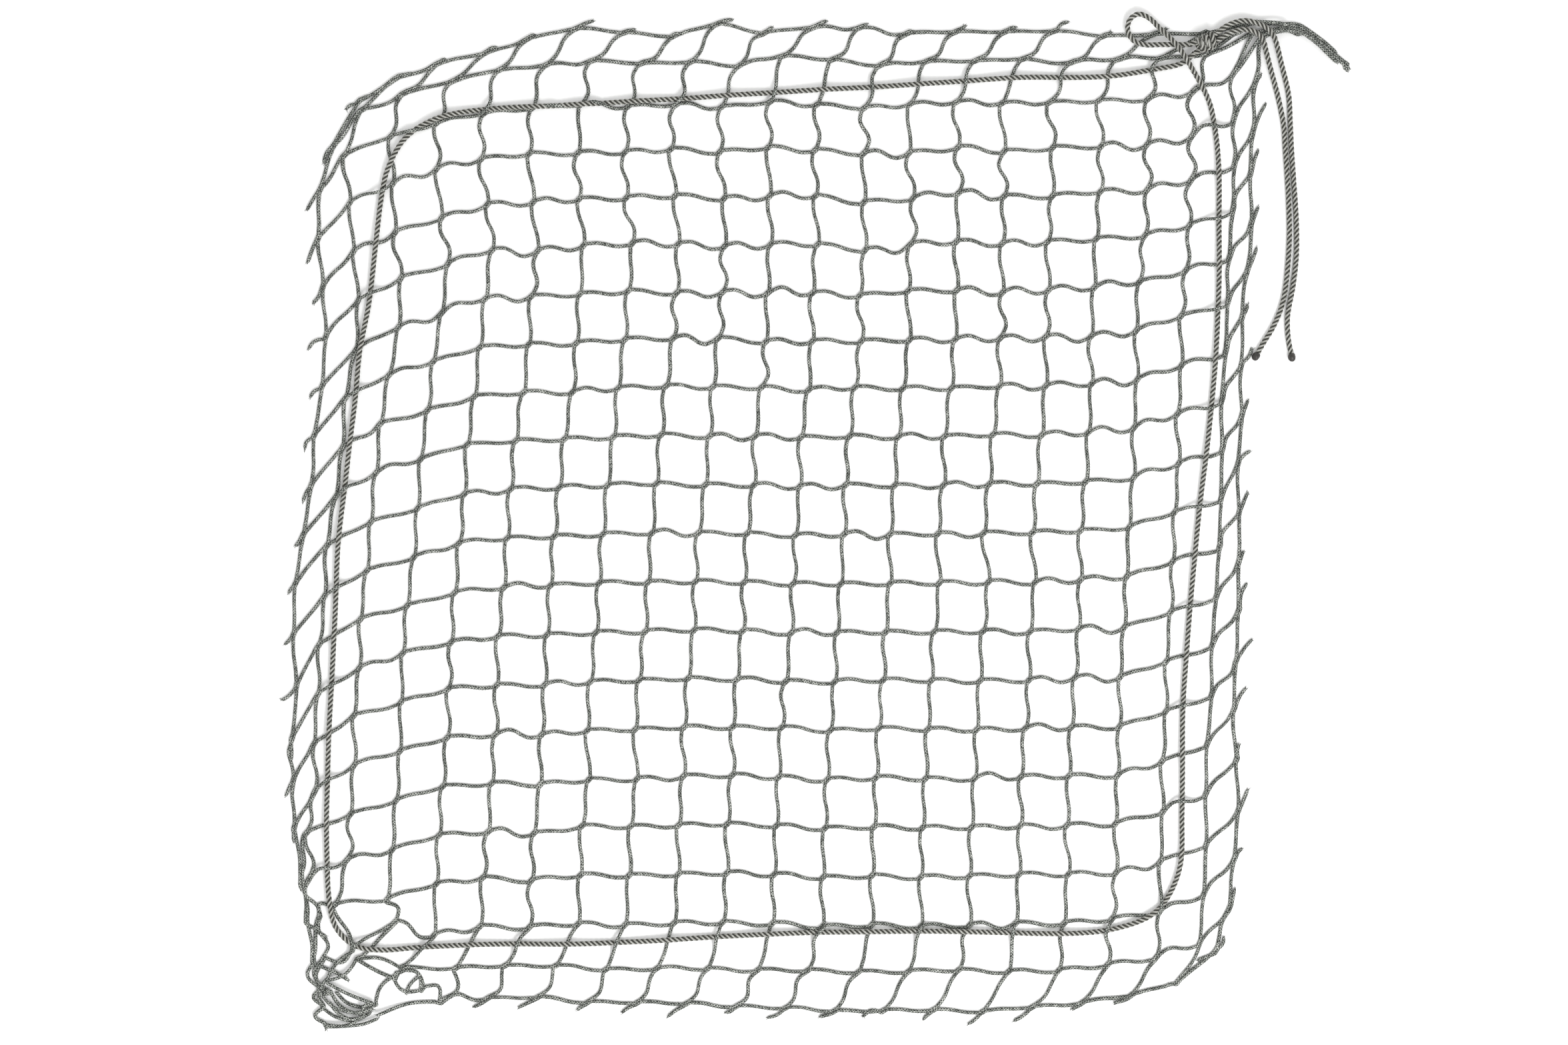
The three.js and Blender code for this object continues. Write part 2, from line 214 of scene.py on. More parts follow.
TAIL_B = MM * np.array([
    (396, 441, 6.5), (407, 448, 6.5), (422, 452, 6.5), (433, 449, 6.5), (439, 442, 6.5),
    (442, 431, 6.3), (446, 416, 5), (453, 391, 2.7), (458.4, 364, 2.5), (459.8, 344, 2.5),
    (461.8, 315, 2.5), (463, 293, 2.5), (463.6, 261, 2.5), (461, 223, 2.5), (457, 200, 2.5),
    (449, 180, 2.5), (440, 165, 2.5), (433.4, 153.6, 2.5),
])
KNOT_AT = MM * np.array([386, 439, 10.6])

# ---------------------------------------------------------------- curves


def unit(v):
    """Each row of v at length 1."""
    v = np.asarray(v, dtype=float)
    return v / np.maximum(np.linalg.norm(v, axis=-1, keepdims=True), 1e-12)


def spline(keys, values, at):
    """A smooth curve through values at uneven keys (cubic Hermite, slopes from neighbours)."""
    keys = np.asarray(keys, dtype=float)
    n = len(keys)
    before = np.maximum(np.arange(n) - 1, 0)
    after = np.minimum(np.arange(n) + 1, n - 1)
    slope = (values[after] - values[before]) / (keys[after] - keys[before])[:, None]
    k = np.clip(np.searchsorted(keys, at, side="right") - 1, 0, n - 2)
    span = (keys[k + 1] - keys[k])[:, None]
    t = ((np.asarray(at, dtype=float) - keys[k])[:, None]) / span
    return (
        (2 * t**3 - 3 * t**2 + 1) * values[k]
        + (t**3 - 2 * t**2 + t) * span * slope[k]
        + (3 * t**2 - 2 * t**3) * values[k + 1]
        + (t**3 - t**2) * span * slope[k + 1]
    )


def arc_lengths(line):
    """The distance along a line to each of its points."""
    steps = np.linalg.norm(np.diff(line, axis=0), axis=1)
    return np.concatenate([[0.0], np.cumsum(steps)])


def smooth_line(points, spacing):
    """A smooth curve through points, at even spacing."""
    points = np.asarray(points, dtype=float)
    keys = arc_lengths(points)
    fine = spline(keys, points, np.linspace(0, keys[-1], 12 * len(points)))
    along = arc_lengths(fine)
    count = max(int(round(along[-1] / spacing)) + 1, 2)
    at = np.linspace(0, along[-1], count)
    return np.column_stack([np.interp(at, along, fine[:, axis]) for axis in range(fine.shape[1])])


def carried_frames(line):
    """Tangents and two side directions carried along a line without twist."""
    tangent = unit(np.gradient(line, axis=0))
    side = np.empty_like(tangent)
    first = np.cross(tangent[0], (0, 0, 1))
    if np.linalg.norm(first) < 0.1:
        first = np.cross(tangent[0], (1, 0, 0))
    side[0] = unit(first)
    for n in range(1, len(line)):
        moved = side[n - 1] - tangent[n] * np.dot(side[n - 1], tangent[n])
        side[n] = moved / np.linalg.norm(moved)
    return tangent, side, np.cross(tangent, side)


# ---------------------------------------------------------------- meshes


class Skin:
    """Collects tubes and gives one mesh, with its lay on the UV map: along, and round plus id."""

    def __init__(self):
        self.points = []
        self.quads = []
        self.quad_uv = []
        self.caps = []
        self.count = 0

    def add_rings(self, rings, along, number):
        """rings is (n, sides, 3). The lay runs along by the values in along, and round from number."""
        n, sides = rings.shape[:2]
        base = self.count + np.arange(n * sides).reshape(n, sides)
        self.points.append(rings.reshape(-1, 3))
        self.count += n * sides
        a = base[:-1]
        b = np.roll(base, -1, axis=1)[:-1]
        c = np.roll(base, -1, axis=1)[1:]
        d = base[1:]
        self.quads.append(np.stack([a, b, c, d], axis=-1).reshape(-1, 4))
        v0 = number + np.arange(sides) / sides
        v1 = number + (np.arange(sides) + 1) / sides
        u0 = np.repeat(along[:-1], sides)
        u1 = np.repeat(along[1:], sides)
        v0 = np.tile(v0, n - 1)
        v1 = np.tile(v1, n - 1)
        uv = np.stack([
            np.stack([u0, v0], -1), np.stack([u0, v1], -1),
            np.stack([u1, v1], -1), np.stack([u1, v0], -1),
        ], axis=1)
        self.quad_uv.append(uv)
        self.caps.append((list(base[0][::-1]), (along[0], number + 0.5)))
        self.caps.append((list(base[-1]), (along[-1], number + 0.5)))

    def build(self, name, material):
        """The mesh object, smooth-shaded, riding on the net's body."""
        points = np.concatenate(self.points) - CENTRE
        quads = np.concatenate(self.quads)
        uv = np.concatenate(self.quad_uv).reshape(-1, 2)
        corners = [quads.reshape(-1)]
        sizes = [np.full(len(quads), 4)]
        for ring, at in self.caps:
            corners.append(np.array(ring))
            sizes.append(np.array([len(ring)]))
            uv = np.concatenate([uv, np.tile(at, (len(ring), 1))])
        corners = np.concatenate(corners).astype(np.int32)
        sizes = np.concatenate(sizes).astype(np.int32)
        starts = np.concatenate([[0], np.cumsum(sizes)[:-1]]).astype(np.int32)
        mesh = bpy.data.meshes.new(name)
        mesh.vertices.add(len(points))
        mesh.vertices.foreach_set("co", points.astype(np.float32).reshape(-1))
        mesh.loops.add(len(corners))
        mesh.loops.foreach_set("vertex_index", corners)
        mesh.polygons.add(len(sizes))
        mesh.polygons.foreach_set("loop_start", starts)
        mesh.polygons.foreach_set("use_smooth", np.ones(len(sizes), dtype=bool))
        layer = mesh.uv_layers.new(name="lay")
        layer.data.foreach_set("uv", uv.astype(np.float32).reshape(-1))
        mesh.update(calc_edges=True)
        mesh.validate()
        mesh.materials.append(material)
        obj = bpy.data.objects.new(name, mesh)
        scene.collection.objects.link(obj)
        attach(obj, BODY)
        return obj

    def triangles(self):
        """How many triangles the tubes hold, near enough."""
        return 2 * sum(len(q) for q in self.quads)


def twine_rings(line, half_width, half_height, taper):
    """Rings of knitted twine along a line, with a crown and a groove for each column of stitches."""
    tangent = unit(np.gradient(line, axis=0))
    side = unit(np.cross((0, 0, 1), tangent))
    up = np.cross(tangent, side)
    ring = np.arange(len(line))[:, None]
    angle = (np.arange(TWINE_SIDES) * 2 * math.pi / TWINE_SIDES)[None, :]
    column = (np.arange(TWINE_SIDES) // 2)[None, :]
    crown = (np.arange(TWINE_SIDES) % 2 == 0)[None, :]
    beat = np.cos(2 * math.pi * (ring / RINGS_PER_STITCH + column / 2))
    swell = np.where(crown, 1.03 + 0.09 * beat, 0.86 - 0.03 * beat) * taper[:, None]
    x = np.cos(angle) * swell * half_width[:, None]
    y = np.sin(angle) * swell * half_height[:, None]
    return line[:, None, :] + x[..., None] * side[:, None, :] + y[..., None] * up[:, None, :]


def rope_strand_rings(line, phase):
    """Rings of one of the three strands that a rope along this line is laid from."""
    tangent, side, up = carried_frames(line)
    along = arc_lengths(line)
    turn = phase + 2 * math.pi * along / LAY
    out = np.cos(turn)[:, None] * side + np.sin(turn)[:, None] * up
    centre = line + ROPE_HELIX_R * out
    heading = unit(np.gradient(centre, axis=0))
    across = unit(np.cross(heading, out))
    angle = (np.arange(ROPE_SIDES) * 2 * math.pi / ROPE_SIDES)[None, :, None]
    offset = np.cos(angle) * out[:, None, :] + np.sin(angle) * across[:, None, :]
    return centre[:, None, :] + ROPE_STRAND_R * offset, along


def add_rope(skin, line):
    """A three-strand rope along a line."""
    for k in range(3):
        rings, along = rope_strand_rings(line, k * 2 * math.pi / 3)
        skin.add_rings(rings, along / LAY, 3 * len(skin.points) + k)


# ---------------------------------------------------------------- materials


class Nodes:
    """Short names for the shader nodes of one material."""

    def __init__(self, name):
        self.material = bpy.data.materials.new(name)
        self.material.use_nodes = True
        self.tree = self.material.node_tree
        self.shader = self.tree.nodes["Principled BSDF"]

    def put(self, socket, value):
        if isinstance(value, bpy.types.NodeSocket):
            self.tree.links.new(value, socket)
        else:
            socket.default_value = value

    def math(self, operation, a, b=0.0, clamp=False):
        node = self.tree.nodes.new("ShaderNodeMath")
        node.operation = operation
        node.use_clamp = clamp
        self.put(node.inputs[0], a)
        self.put(node.inputs[1], b)
        return node.outputs[0]

    def lay(self):
        """How far along, and how far round plus the tube's number."""
        uv = self.tree.nodes.new("ShaderNodeUVMap")
        uv.uv_map = "lay"
        parts = self.tree.nodes.new("ShaderNodeSeparateXYZ")
        self.put(parts.inputs[0], uv.outputs[0])
        return parts.outputs[0], parts.outputs[1]

    def vector(self, x, y):
        node = self.tree.nodes.new("ShaderNodeCombineXYZ")
        for socket, value in zip(node.inputs, (x, y)):
            self.put(socket, value)
        return node.outputs[0]

    def white_noise(self, vector):
        node = self.tree.nodes.new("ShaderNodeTexWhiteNoise")
        node.noise_dimensions = "3D"
        self.put(node.inputs["Vector"], vector)
        return node.outputs["Value"]

    def noise(self, scale, detail, vector=None):
        if vector is None:
            vector = self.tree.nodes.new("ShaderNodeTexCoord").outputs["Object"]
        node = self.tree.nodes.new("ShaderNodeTexNoise")
        node.inputs["Scale"].default_value = scale
        node.inputs["Detail"].default_value = detail
        self.put(node.inputs["Vector"], vector)
        return node.outputs["Fac"]

    def ramp(self, factor, stops):
        """A colour ramp through (place, grey or colour) stops."""
        node = self.tree.nodes.new("ShaderNodeValToRGB")
        elements = node.color_ramp.elements
        while len(elements) < len(stops):
            elements.new(0.5)
        for element, (place, colour) in zip(elements, stops):
            element.position = place
            element.color = (*colour, 1.0)
        self.put(node.inputs[0], factor)
        return node.outputs[0]

    def multiply(self, a, b):
        """Two colours multiplied."""
        node = self.tree.nodes.new("ShaderNodeMix")
        node.data_type = "RGBA"
        node.blend_type = "MULTIPLY"
        self.put(node.inputs[0], 1.0)
        self.put(node.inputs[6], a)
        self.put(node.inputs[7], b)
        return node.outputs[2]

    def bump(self, height, distance, strength):
        node = self.tree.nodes.new("ShaderNodeBump")
        node.inputs["Strength"].default_value = strength
        node.inputs["Distance"].default_value = distance
        self.put(node.inputs["Height"], height)
        self.put(self.shader.inputs["Normal"], node.outputs[0])

    def finish(self, colour, roughness, specular, sheen=0.0):
        self.put(self.shader.inputs["Base Color"], colour)
        self.put(self.shader.inputs["Roughness"], roughness)
        self.shader.inputs["Specular IOR Level"].default_value = specular
        self.shader.inputs["Sheen Weight"].default_value = sheen
        return self.material


def twine_material():
    """Knitted twine: pale grey-green yarn, with painted shade in the hole of every stitch of every column.
    """
    n = Nodes("knitted_twine")
    along, round_ = n.lay()
    columns = n.math("ADD", n.math("MULTIPLY", round_, float(WALES)), 0.5)
    beside = n.math("SUBTRACT", n.math("FRACT", columns), 0.5)
    column = n.math("FLOOR", columns)
    lean = n.math("MULTIPLY", n.math("ABSOLUTE", beside), 0.35)
    drift = n.noise(1.0, 1.0, n.vector(n.math("MULTIPLY", along, 0.4), column))
    place = n.math("ADD", n.math("ADD", along, n.math("MULTIPLY", column, 0.5)),
                   n.math("ADD", lean, n.math("MULTIPLY", drift, 1.2)))
    step = n.math("FLOOR", place)
    ahead = n.math("DIVIDE", n.math("SUBTRACT", n.math("FRACT", place), 0.5), 0.34)
    aside = n.math("DIVIDE", beside, 0.42)
    off = n.math("ADD", n.math("MULTIPLY", ahead, ahead), n.math("MULTIPLY", aside, aside))
    # The hole in the middle of each stitch is painted dark: painted shade in the recess between the loops,
    # which the bump also sinks.
    gap = n.math("SUBTRACT", 1.35, off, clamp=True)
    relief_and_hole_shade = n.math("SUBTRACT", 1.0, gap)
    chance = n.white_noise(n.vector(step, column))
    fibre = n.noise(2.2, 2.0, n.vector(n.math("MULTIPLY", along, 3.0), n.math("MULTIPLY", round_, 14.0)))
    # The yarn's tone: the painted hole shade, plus a random tone for each stitch and noise along the
    # fibres.
    yarn = n.math("ADD", n.math("MULTIPLY", relief_and_hole_shade, 0.52),
                  n.math("ADD", n.math("MULTIPLY", chance, 0.28), n.math("MULTIPLY", fibre, 0.30)))
    body = n.ramp(yarn, [
        (0.12, (0.004, 0.005, 0.004)), (0.38, (0.020, 0.022, 0.019)), (0.60, (0.090, 0.097, 0.088)),
        (0.80, (0.245, 0.26, 0.24)), (0.98, (0.64, 0.65, 0.62)),
    ])
    tone = n.ramp(n.noise(55.0, 3.0), [(0.3, (0.84, 0.85, 0.84)), (0.7, (1.1, 1.1, 1.08))])
    n.bump(relief_and_hole_shade, 0.3 * MM, 0.8)
    return n.finish(n.multiply(body, tone), 0.8, 0.25, 0.1)


def rope_material():
    """Laid rope of fine yarns twisted against the lay, with painted light on each strand's crest and
    painted shade in the grooves between strands and between yarns.
    """
    n = Nodes("laid_rope")
    along, round_ = n.lay()
    yarns = n.math("ADD", n.math("MULTIPLY", round_, 9.0), n.math("MULTIPLY", along, -9.0))
    # Each fine yarn is rounded in the bump and painted a little darker at its edges: painted shade between
    # the yarns.
    groove = n.math("SINE", n.math("MULTIPLY", n.math("FRACT", yarns), math.pi))
    shade = n.white_noise(n.vector(n.math("FLOOR", yarns), 0.0))
    streak = n.noise(5.0, 3.0, n.vector(n.math("MULTIPLY", along, 2.5), n.math("MULTIPLY", yarns, 0.7)))
    # Painted light and shade: each strand is painted pale where it faces out from the rope and dark in the
    # grooves between strands.
    outward = n.math("COSINE", n.math("MULTIPLY", round_, 2 * math.pi))
    crest_light_groove_shade = n.math("POWER", n.math("MAXIMUM", outward, 0.0), 1.3)
    tone = n.math("ADD", n.math("MULTIPLY", crest_light_groove_shade, 0.62),
                  n.math("ADD", n.math("MULTIPLY", groove, 0.12),
                         n.math("ADD", n.math("MULTIPLY", shade, 0.10), n.math("MULTIPLY", streak, 0.22))))
    colour = n.ramp(tone, [
        (0.05, (0.012, 0.012, 0.010)), (0.33, (0.040, 0.040, 0.033)), (0.60, (0.125, 0.125, 0.108)),
        (0.82, (0.34, 0.34, 0.31)), (1.0, (0.64, 0.64, 0.61)),
    ])
    n.bump(groove, 0.2 * MM, 0.6)
    return n.finish(colour, n.math("ADD", 0.40, n.math("MULTIPLY", streak, 0.3)), 0.45, 0.05)


def melted_material():
    """Melted and set rope: dark, lumpy, half glossy."""
    n = Nodes("melted_rope")
    grain = n.noise(900.0, 4.0)
    colour = n.ramp(grain, [
        (0.3, (0.012, 0.011, 0.010)), (0.6, (0.035, 0.032, 0.028)), (0.85, (0.10, 0.095, 0.085)),
    ])
    n.bump(grain, 0.4 * MM, 0.6)
    return n.finish(colour, n.math("ADD", 0.28, n.math("MULTIPLY", grain, 0.3)), 0.5)


def floor_material():
    """A plain pale floor with hardly any tooth."""
    n = Nodes("pale_floor")
    colour = n.ramp(n.noise(4.0, 2.0), [(0.0, (0.93, 0.93, 0.925)), (1.0, (0.95, 0.95, 0.945))])
    return n.finish(colour, 0.9, 0.1)


TWINE = twine_material()
ROPE = rope_material()
MELTED = melted_material()

# ---------------------------------------------------------------- camera and light

FRAME_WIDTH = 1.4394       # what the camera sees from side to side
LENS = 85.0
SENSOR = 36.0
ROOM_LIGHT = 0.95
SOFTBOX_SIZE = 1.1
SOFTBOX_POWER = 62.0
SOFTBOX_AT = (0.9, -1.7, 2.5)
FLOOR_SIZE = 12.0
FLOOR_Z = -0.0002


def add_camera():
    """Straight above the layout's middle, far enough off for the frame's width."""
    data = bpy.data.cameras.new("camera")
    data.lens = LENS
    data.sensor_width = SENSOR
    data.clip_end = 50.0
    camera = bpy.data.objects.new("camera", data)
    camera.location = (-CENTRE[0], -CENTRE[1], FRAME_WIDTH * LENS / SENSOR)
    scene.collection.objects.link(camera)
    scene.camera = camera


def add_light():
    """An even white room with one large soft light to the near right."""
    world = bpy.data.worlds.new("room")
    world.use_nodes = True
    background = world.node_tree.nodes["Background"]
    background.inputs["Color"].default_value = (1.0, 1.0, 1.0, 1.0)
    background.inputs["Strength"].default_value = ROOM_LIGHT
    scene.world = world
    data = bpy.data.lights.new("softbox", "AREA")
    data.shape = "SQUARE"
    data.size = SOFTBOX_SIZE
    data.energy = SOFTBOX_POWER
    light = bpy.data.objects.new("softbox", data)
    light.location = SOFTBOX_AT
    light.rotation_euler = (-light.location).to_track_quat("-Z", "Y").to_euler()
    scene.collection.objects.link(light)


def add_floor():
    """The floor that the net lies on."""
    bpy.ops.mesh.primitive_plane_add(size=FLOOR_SIZE, location=(0.0, 0.0, FLOOR_Z))
    floor = bpy.context.object
    floor.name = "floor"
    floor.data.materials.append(floor_material())


scene.view_settings.view_transform = "Standard"
add_camera()
add_light()
add_floor()

# ---------------------------------------------------------------- the free tails


def melted_blob(name, tail):
    """A mushroom of melted rope over a tail's end."""
    tip = tail[-1]
    way = unit(tail[-1] - tail[-2])
    side = unit(np.cross((0, 0, 1), way))
    up = np.cross(way, side)
    # Along the rope from its tip, and out from its middle, in millimetres.
    profile = [
        (-2.2, 2.2), (-1.2, 3.0), (0.2, 3.45), (1.8, 3.5),
        (3.4, 3.1), (4.7, 2.2), (5.4, 0.9), (5.5, 0.1),
    ]
    sides = 20
    angle = np.arange(sides) * 2 * math.pi / sides
    rings = []
    for k, (x, r) in enumerate(profile):
        lump = 1 + 0.07 * np.sin(3 * angle + 1.3 * k) + 0.05 * np.sin(5 * angle + 2.1 * k)
        ring = tip + way * x * MM + (r * MM * lump * np.cos(angle))[:, None] * side
        ring = ring + (r * MM * lump * np.sin(angle))[:, None] * up
        ring[:, 2] = np.maximum(ring[:, 2] + 0.9 * MM, 0.1 * MM)
        rings.append(ring)
    skin = Skin()
    skin.add_rings(np.array(rings), np.arange(len(profile)) / 8, 0)
    blob = skin.build(name, MELTED)
    return blob


def add_tail(letter, points):
    """One free tail of the drawstring, with its melted end."""
    line = smooth_line(points, ROPE_RING)
    skin = Skin()
    add_rope(skin, line)
    tail = skin.build(f"rope_tail_{letter}", ROPE)
    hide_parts(f"drawstring_tail_{letter}")
    blob = melted_blob(f"rope_end_{letter}", points)
    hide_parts(f"melted_end_{letter}")


add_tail("a", TAIL_A)
add_tail("b", TAIL_B)

# ---------------------------------------------------------------- the netting's ends of twine


def joint_grid():
    """The joints' places in plan, indexed [column, row], rows from the far edge."""
    at = np.arange(STRANDS)
    rows = np.stack([spline(COLUMNS, row, at) for row in NET])
    grid = np.stack([spline(ROWS, rows[:, i], at) for i in range(STRANDS)])
    placed = np.zeros((STRANDS, STRANDS), dtype=bool)
    for (i, j), place in {**GATHERED, **CRUMPLED}.items():
        grid[i, j] = MM * np.array(place)
        placed[i, j] = True
    return settled(grid, placed)


def settled(grid, placed):
    """The joints made uneven, then pulled and pushed until hardly a stretch of twine is too long
    or too short. Where the net is drawn together along an edge, its joints step aside."""
    least = [
        np.minimum(
            SHORTEST_SHARE * np.linalg.norm(np.diff(grid, axis=axis), axis=-1, keepdims=True),
            PITCH_LEAST,
        )
        for axis in (0, 1)
    ]
    free = np.where(placed, 0.0, 1.0)[..., None]
    target = grid + free * rng.normal(0, UNEVEN, grid.shape)
    grid = target
    for _ in range(SETTLING_STEPS):
        shift = np.zeros_like(grid)
        for axis in (0, 1):
            a = grid[:-1] if axis == 0 else grid[:, :-1]
            b = grid[1:] if axis == 0 else grid[:, 1:]
            gap = b - a
            length = np.linalg.norm(gap, axis=-1, keepdims=True)
            wrong = length - np.clip(length, least[axis], PITCH_MOST)
            pull = STRETCH_PULL * gap * wrong / np.maximum(length, MM)
            if axis == 0:
                shift[:-1] += pull
                shift[1:] -= pull
            else:
                shift[:, :-1] += pull
                shift[:, 1:] -= pull
        grid = grid + free * (shift + HOME_PULL * (target - grid))
    return grid


def joint_ways(grid):
    """The direction in which each joint's body lies: between its right and its far leg."""
    right = np.empty_like(grid)
    right[:-1] = grid[1:] - grid[:-1]
    right[-1] = right[-2]
    far = np.empty_like(grid)
    far[:, 1:] = grid[:, :-1] - grid[:, 1:]
    far[:, 0] = far[:, 1]
    return unit(unit(right) + unit(far))


GRID = joint_grid()
WAYS = joint_ways(GRID)


def near(point, place, reach):
    """1 up to some 0.3 of reach from a place, falling to 0 at reach."""
    return float(np.clip(1.4 * (1 - np.linalg.norm(point - place) / reach), 0, 1))


def joint_points(i, j, far_side):
    """The three points at which an end of twine passes a joint, on one side of its body."""
    way = WAYS[i, j]
    side = np.array([-way[1], way[0]]) * (JOINT_SIDE if far_side else -JOINT_SIDE)
    middle = GRID[i, j] + side
    half = way * JOINT_HALF * (1 - 0.75 * near(middle, CRUMPLE_AT, CRUMPLE_REACH))
    return [middle - half - side * 0.1, middle, middle + half - side * 0.1]


def leg_points(a, b, way):
    """Twine between two joints. It leaves and arrives along the joints' way, so it swings one
    way and then the other, by as much as it is slack. With much slack it only bows out."""
    chord = b - a
    length = np.linalg.norm(chord)
    to_side = np.array([-chord[1], chord[0]]) / length
    slack = max(LEG * rng.normal(1.0, LEG_UNEVEN) - length, SLACK_LEAST)
    swing = min(math.sqrt(slack * max(length, SHORT_LEG)) / math.pi, SWING_MOST)
    swing = swing * rng.uniform(0.6, 1.15)
    turn = (chord[0] * way[1] - chord[1] * way[0]) / length
    swerve = swing * float(np.clip(turn / math.sin(math.pi / 4), -1.1, 1.1))
    bow = 0.5 * rng.normal() * swing
    middle = (a + b) / 2
    bulge = float(np.clip((slack - BULGE_FROM) / BULGE_FROM, 0, 1))
    if near(middle, CRUMPLE_AT, CRUMPLE_REACH) > 0:
        bulge = 1.0
    away = middle if bulge >= 1 and middle[0] <= PILE_X else way
    outwards = 1 if to_side @ away > 0 else -1
    bow = bow * (1 - bulge) + bulge * outwards * min(1.5 * swing, BULGE_MOST)
    swerve = swerve * (1 - 0.9 * bulge)
    calm = 1 - 0.85 * near(middle, GATHER_AT, GATHER_REACH)
    points = []
    for t in (0.1, 0.24, 0.4, 0.6, 0.76, 0.9):
        aside = swerve * math.sin(2 * math.pi * t) + bow * math.sin(math.pi * t)
        points.append(a + chord * t + to_side * aside * calm)
    return points


def stub_points(start, edge, number):
    """The cut end past an edge, from the joint outwards."""
    if (edge, number) in PLACED_STUBS:
        return list(MM * np.array(PLACED_STUBS[edge, number], dtype=float))
    way = np.array(STUB_WAY[edge])
    turn = rng.normal(0, STUB_TURN)
    way = np.array([
        way[0] * math.cos(turn) - way[1] * math.sin(turn),
        way[0] * math.sin(turn) + way[1] * math.cos(turn),
    ])
    side = np.array([-way[1], way[0]])
    lengths = STUB_LENGTHS[edge]
    length = lengths[number % len(lengths)]
    if near(start, CRUMPLE_AT, CRUMPLE_REACH) + near(start, GATHER_AT, GATHER_REACH) > 0:
        length = CORNER_STUB
    bow = rng.normal(0, STUB_BOW) * length
    return [start + way * length * t + side * bow * math.sin(math.pi * t) for t in (0.25, 0.6, 1.0)]


def staircase(number):
    """The plan of one end of twine, from its start to its finish.

    Ends 0 to 21 run from the left edge to the far edge, and 22 to 43 from the near edge to the
    right one. An end passes a joint on its far side when it comes from the left.
    """
    points = []
    marks = []
    if number < STRANDS:
        i, j, from_left = 0, number, True
    else:
        i, j, from_left = number - STRANDS, STRANDS - 1, False
    first = joint_points(i, j, from_left)
    edge = "left" if from_left else "near"
    points += stub_points(first[0], edge, number)[::-1]
    marks += [0.0] * 3
    while True:
        joint = joint_points(i, j, from_left)
        points += joint
        marks += [0.6, 1.0, 0.6]
        next_i, next_j = (i, j - 1) if from_left else (i + 1, j)
        if next_j < 0 or next_i >= STRANDS:
            break
        following = joint_points(next_i, next_j, not from_left)
        legs = leg_points(joint[2], following[0], unit(WAYS[i, j] + WAYS[next_i, next_j]))
        points += legs
        marks += [0.0] * len(legs)
        i, j, from_left = next_i, next_j, not from_left
    edge = "far" if from_left else "right"
    points += stub_points(joint[2], edge, number)
    marks += [0.0] * 3
    return np.array(points), np.array(marks)


PLANS = [staircase(number) for number in range(2 * STRANDS)]

# ---------------------------------------------------------------- threading the drawstring


def crossings(rope_plan):
    """Where the ends of twine cross the drawstring in plan: along rope, end, along twine."""
    found = []
    rope_along = arc_lengths(rope_plan)
    c = rope_plan[None, :-1]
    s = rope_plan[None, 1:] - c
    for number, (plan, _) in enumerate(PLANS):
        along = arc_lengths(plan)
        a = plan[:-1, None]
        r = plan[1:, None] - a
        area = r[..., 0] * s[..., 1] - r[..., 1] * s[..., 0]
        area = np.where(np.abs(area) < 1e-15, 1e-15, area)
        gap = c - a
        t = (gap[..., 0] * s[..., 1] - gap[..., 1] * s[..., 0]) / area
        u = (gap[..., 0] * r[..., 1] - gap[..., 1] * r[..., 0]) / area
        hits = np.argwhere((t >= 0) & (t < 1) & (u >= 0) & (u < 1))
        for m, k in hits:
            on_twine = along[m] + t[m, k] * (along[m + 1] - along[m])
            on_rope = rope_along[k] + u[m, k] * (rope_along[k + 1] - rope_along[k])
            found.append((on_rope, number, on_twine))
    return sorted(found)


def threaded(found):
    """Says for each crossing whether the rope is on top: it goes over and under by turns.
    Crossings close together along the rope go the same way."""
    on_top = []
    over = True
    last = None
    for on_rope, _, _ in found:
        if last is not None and on_rope - last > SAME_WAY_GAP:
            over = not over
        last = on_rope
        on_top.append(over)
    return on_top


def rope_heights(along, found, on_top):
    """The drawstring's height at each distance along it."""
    keys = [h[0] for h in found]
    levels = [ROPE_OVER_Z if top else ROPE_UNDER_Z for top in on_top]
    fine = np.arange(0, along[-1] + 2 * MM, 1 * MM)
    heights = np.interp(fine, keys, levels)
    window = np.hanning(2 * HEIGHT_SMOOTHING + 1)
    padded = np.pad(heights, HEIGHT_SMOOTHING, mode="edge")
    heights = np.convolve(padded, window / window.sum(), mode="valid")
    return np.interp(along, fine, heights)


ROUND_PLAN = smooth_line(ROUND, 6 * MM)
FOUND = crossings(ROUND_PLAN)
ON_TOP = threaded(FOUND)

# ---------------------------------------------------------------- building the netting


def twine_line(number):
    """The centreline of one end of twine, with its height, and its squeeze at each point."""
    plan, marks = PLANS[number]
    line = smooth_line(plan, STITCH / RINGS_PER_STITCH)
    plan_along = arc_lengths(line)
    # Distances found on the straight-sided plan are a little shorter than on the smooth line.
    straight = arc_lengths(plan)
    scale = plan_along[-1] / straight[-1]
    squeeze = np.interp(plan_along, straight * scale, marks)
    z = np.full(len(line), TWINE_REST_Z)
    for (_, which, on_twine), top in zip(FOUND, ON_TOP):
        if which == number and not top:
            off = np.minimum(np.abs(plan_along - on_twine * scale) / LIFT_REACH, 1)
            lift = 0.5 + 0.5 * np.cos(math.pi * off)
            z = np.maximum(z, TWINE_H + (TWINE_OVER_Z - TWINE_H) * lift)
    pile = np.array([
        near(p, CRUMPLE_AT, 0.9 * CRUMPLE_REACH) + near(p, GATHER_AT, GATHER_REACH) for p in line
    ])
    z = z + np.minimum(pile, 1) * (number % PILE_LAYERS) * PILE_STEP
    return np.column_stack([line, z]), squeeze


